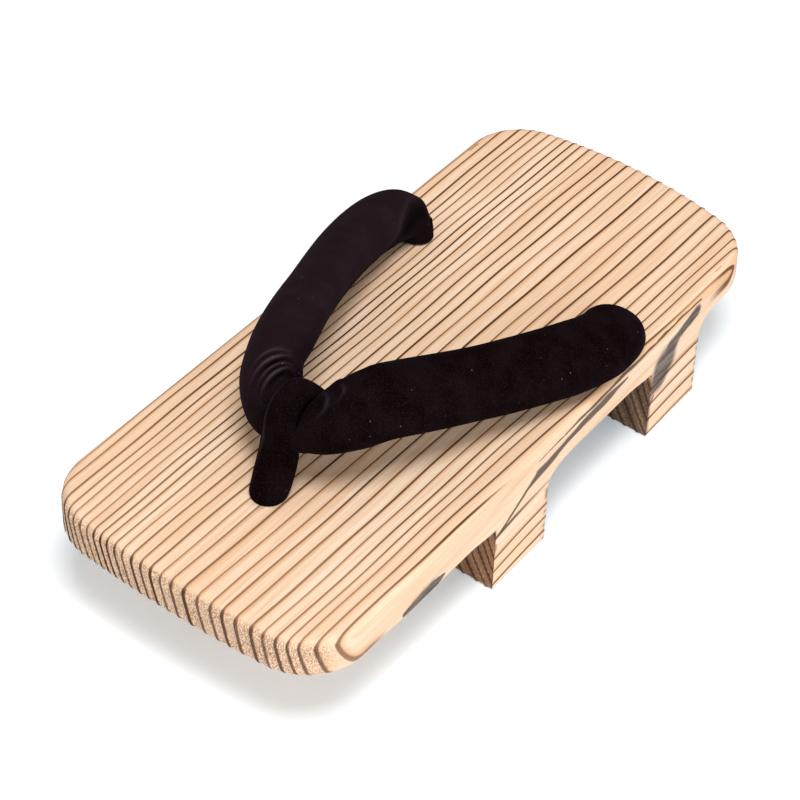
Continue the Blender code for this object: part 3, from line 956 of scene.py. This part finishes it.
def cedar_material():
    """Colour, gloss and relief of the brushed cedar."""
    paint = Paint("cedar", {"Specular IOR Level": 0.12})
    place = paint.place()
    x, y, z = (axis * 1000.0 for axis in paint.axes(place))
    facing = paint.node("TexCoord", {}, {}, "Normal")
    face_x, face_y, face_z = paint.axes(facing)
    end = face_y.size().ease(0.25, 0.85)

    first, last, count = RING_PLACES[0], RING_PLACES[-1], len(RING_PLACES) - 1
    curve = [((q - first) / (last - first), n / count) for n, q in enumerate(RING_PLACES)]
    share = (ring_distance(x, y, z) - first) / (last - first)
    number = paint.node("FloatCurve", {"curve": curve}, {"Value": share}) * count
    nearest = (number + 0.5).floor()
    signed = number - nearest
    chance = paint.node("TexWhiteNoise", {"noise_dimensions": "1D"}, {"W": nearest * 7.3})
    ragged = paint.noise(paint.stretched(place, (900, 60, 900)), 1.0) - 0.5

    half_line = chance * 0.07 + 0.052 + end * 0.10 + x.size().ease(5.0, 45.0) * 0.022
    line = (signed.size() + ragged * 0.03).ease(half_line, half_line * 0.45)
    plain = face_x.size().ease(0.5, 0.8) * z.ease(25.5, 28.0) * y.size().ease(100.0, 88.0)
    line = line * (1.0 - plain * 0.9)
    late = (signed + 0.02).ease(-0.30, 0.0) * (signed.ease(0.03, 0.12, 1.0, 0.0)) * (1.0 - plain)

    fibre = paint.noise(paint.stretched(place, (1900, 45, 1900)), 1.0, 3.0)
    cloud = paint.noise(paint.stretched(place, (70, 9, 70)), 1.0, 2.0)
    streak = paint.noise(paint.stretched(place, (620, 13, 620)), 1.0, 3.0, 0.6)
    early = paint.mix(cloud.ease(0.35, 0.7), (0.90, 0.695, 0.525, 1), (0.86, 0.605, 0.42, 1))
    wood = paint.mix(fibre.ease(0.38, 0.70) * 0.52, early, (0.74, 0.47, 0.29, 1))
    wood = paint.mix(streak.ease(0.48, 0.68) * 0.5, wood, (0.76, 0.46, 0.27, 1))
    wood = paint.mix(late * 0.75, wood, (0.60, 0.30, 0.13, 1))

    near_side = face_x.ease(-0.35, -0.75)
    drift = (paint.noise(paint.stretched(place, (60, 120, 500)), 1.0, 3.0) - 0.5) * 1.6
    warm = strokes(y, z + drift, WARM_MARKS, 0.7) * near_side
    wood = paint.mix(warm * 0.5, wood, (0.72, 0.37, 0.16, 1))
    brown = strokes(y, z + drift, BROWN_MARKS, 0.35) * near_side
    wood = paint.mix(brown * 0.95, wood, (0.105, 0.072, 0.060, 1))
    grey = strokes(y, z + drift, GREY_MARKS, 0.28) * near_side
    char = paint.noise(paint.stretched(place, (400, 70, 700)), 1.0, 4.0, 0.65).ease(0.38, 0.62)
    scorched = paint.mix(char, (0.070, 0.054, 0.050, 1), (0.140, 0.122, 0.112, 1))
    wood = paint.mix(grey * (char * -0.10 + 0.97), wood, scorched)

    pores = paint.noise(paint.stretched(place, (2300, 2300, 1500)), 1.0, 3.0, 0.7)
    stain = paint.noise(place, 90.0, 3.0)
    grain = paint.mix(pores.ease(0.42, 0.58), (0.28, 0.125, 0.058, 1), (0.98, 0.70, 0.49, 1))
    wood = paint.mix(end * stain.ease(0.25, 0.7, 0.45, 0.9), wood, grain)
    # Painted shade on the end faces below about 30 mm, that is the teeth: brown on the front tooth, near
    # black on the rear one under the arch
    tooth_face_shade = end * z.ease(30.0, 23.0) * (chance * 0.28 + 0.69)
    tooth_shade_colour = paint.mix(y.ease(-10.0, -40.0), (0.205, 0.080, 0.030, 1), (0.040, 0.016, 0.007, 1))
    wood = paint.mix(tooth_face_shade, wood, tooth_shade_colour)
    worn = y.ease(50.0, 100.0) * (1.0 - end) * 0.32
    colour = paint.mix(line * (chance * 0.24 + 0.76 - worn), wood, (0.062, 0.020, 0.007, 1))
    paint.feed("Base Color", colour)
    paint.feed("Roughness", 0.72 - line * 0.18 + pores * end * 0.15)

    fine = paint.bump(fibre, 0.00006, 0.6)
    rough = paint.bump(pores * end, 0.0003, 0.9, fine)
    paint.feed("Normal", paint.bump(line, 0.00014, 1.0, rough))
    return paint.material


platform.data.materials.clear()
platform.data.materials.append(cedar_material())

# %% [markdown]
# Velvet is a short dense pile. Looked at from above it swallows light, and along the
# outline its upright fibres catch it, which the sheen of the shader gives. A fine noise
# stands for the pile, slow noise for where a hand has brushed it, and rare specks for lint.
# On top of that comes painted light: the far arm, towards +X, is painted lighter, and the
# creases and the wrap's edges carry painted highlight and painted shade from a point attribute.

# %% Velvet
def velvet_material():
    """Near-black pile with a soft plum sheen."""
    paint = Paint("velvet", {
        "Sheen Weight": 0.03, "Sheen Roughness": 0.35, "Sheen Tint": (0.8, 0.55, 0.68, 1),
        "Specular IOR Level": 0.0})
    place = paint.place()
    pile = paint.noise(place, 2600.0, 2.0)
    brushed = paint.noise(place, 120.0, 3.0)
    x, _, _ = paint.axes(place)
    # Slow brushing of the pile, plus painted light: towards +X, on the far arm, the velvet is painted lighter
    # as if lit
    brushing_and_lit_far_arm = brushed.ease(0.35, 0.7, 0.0, 0.2) + x.ease(0.003, 0.02, 0.0, 0.6)
    colour = paint.mix(brushing_and_lit_far_arm, (0.0036, 0.0016, 0.0016, 1), (0.0200, 0.0115, 0.0150, 1))
    colour = paint.mix(pile.ease(0.52, 0.75) * 0.45, colour, (0.030, 0.020, 0.025, 1))
    # Painted highlight where the attribute is above zero, painted shade where it is below
    rubbed = paint.node("Attribute", {"attribute_name": "rubbed"}, {}, "Fac")
    colour = paint.mix(rubbed.largest(0.0).smallest(1.0), colour, (0.075, 0.055, 0.065, 1))
    colour = paint.mix((rubbed * -1.0).largest(0.0).smallest(0.9), colour, (0.0012, 0.0008, 0.0009, 1))
    lint = paint.node("TexVoronoi", {}, {"Vector": place, "Scale": 330.0}).ease(0.085, 0.045)
    rare = paint.noise(place, 140.0, 1.0).ease(0.52, 0.62)
    colour = paint.mix(lint * rare * 0.4, colour, (0.3, 0.27, 0.26, 1))
    paint.feed("Base Color", colour)
    paint.feed("Roughness", brushed * 0.2 + 0.78)
    paint.feed("Normal", paint.bump(pile, 0.00025, 0.7))
    return paint.material


velvet = velvet_material()
for piece in (strap, post):
    piece.data.materials.clear()
    piece.data.materials.append(velvet)

# %% [markdown]
# The studio is plain: a white floor that fades into a white world, one large soft light
# high above the sandal, a little to the viewer's side, and a weaker, wider one low on that
# side. The floor gives a little light of its own, which keeps the shadow pale and neutral.

# %% Studio
FLOOR_HALF, FLOOR_DROP, WORLD_STRENGTH = 3000.0, 0.02, 0.45


def add_floor():
    """A white floor, much larger than the shoe."""
    floor = Patches()
    side = np.array((-FLOOR_HALF, FLOOR_HALF))
    x, y = np.meshgrid(side, side)
    floor.add(np.stack((x, y, 0 * x - FLOOR_DROP), axis=-1))
    sheet = floor.build("studio_floor")
    paint = Paint("studio_white", {
        "Base Color": (0.93, 0.93, 0.94, 1), "Roughness": 0.9, "Specular IOR Level": 0.0,
        "Emission Color": (0.5, 0.8, 1.0, 1), "Emission Strength": 0.23})
    sheet.data.materials.append(paint.material)


def add_light(name, place, aim, size, power, colour):
    """A square soft light at a place, in millimetres, turned to its aim."""
    data = bpy.data.lights.new(name, "AREA")
    data.shape, data.size, data.energy, data.color = "SQUARE", size * MM, power, colour
    light = bpy.data.objects.new(name, data)
    light.location = Vector(place) * MM
    light.rotation_euler = (Vector(place) - Vector(aim)).to_track_quat("Z", "Y").to_euler()
    bpy.context.collection.objects.link(light)


add_floor()
add_light("key", (-350, 350, 1400), (0, 0, 0), 500, 15, (0.97, 0.99, 1.0))
add_light("fill", (-1300, 500, 500), (0, 0, 20), 900, 7, (1.0, 1.0, 1.0))
world = bpy.data.worlds.new("studio_world")
world.use_nodes = True
world.node_tree.nodes["Background"].inputs["Color"].default_value = (1.0, 0.93, 0.86, 1)
world.node_tree.nodes["Background"].inputs["Strength"].default_value = WORLD_STRENGTH
bpy.context.scene.world = world
bpy.context.scene.view_settings.view_transform = "Standard"

# %% [markdown]
# Last, each piece is smoothed and takes the place of its solid in the frame, hung under
# the root body, and the solid is hidden.

# %% Put the pieces in place of the solids
DRESSED = ((platform, "platform", "cedar"), (strap, "strap", "velvet"), (post, "toe_post", "velvet"))
for piece, node, finish in DRESSED:
    piece.data.shade_smooth()
    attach(piece, "root")
    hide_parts(node)
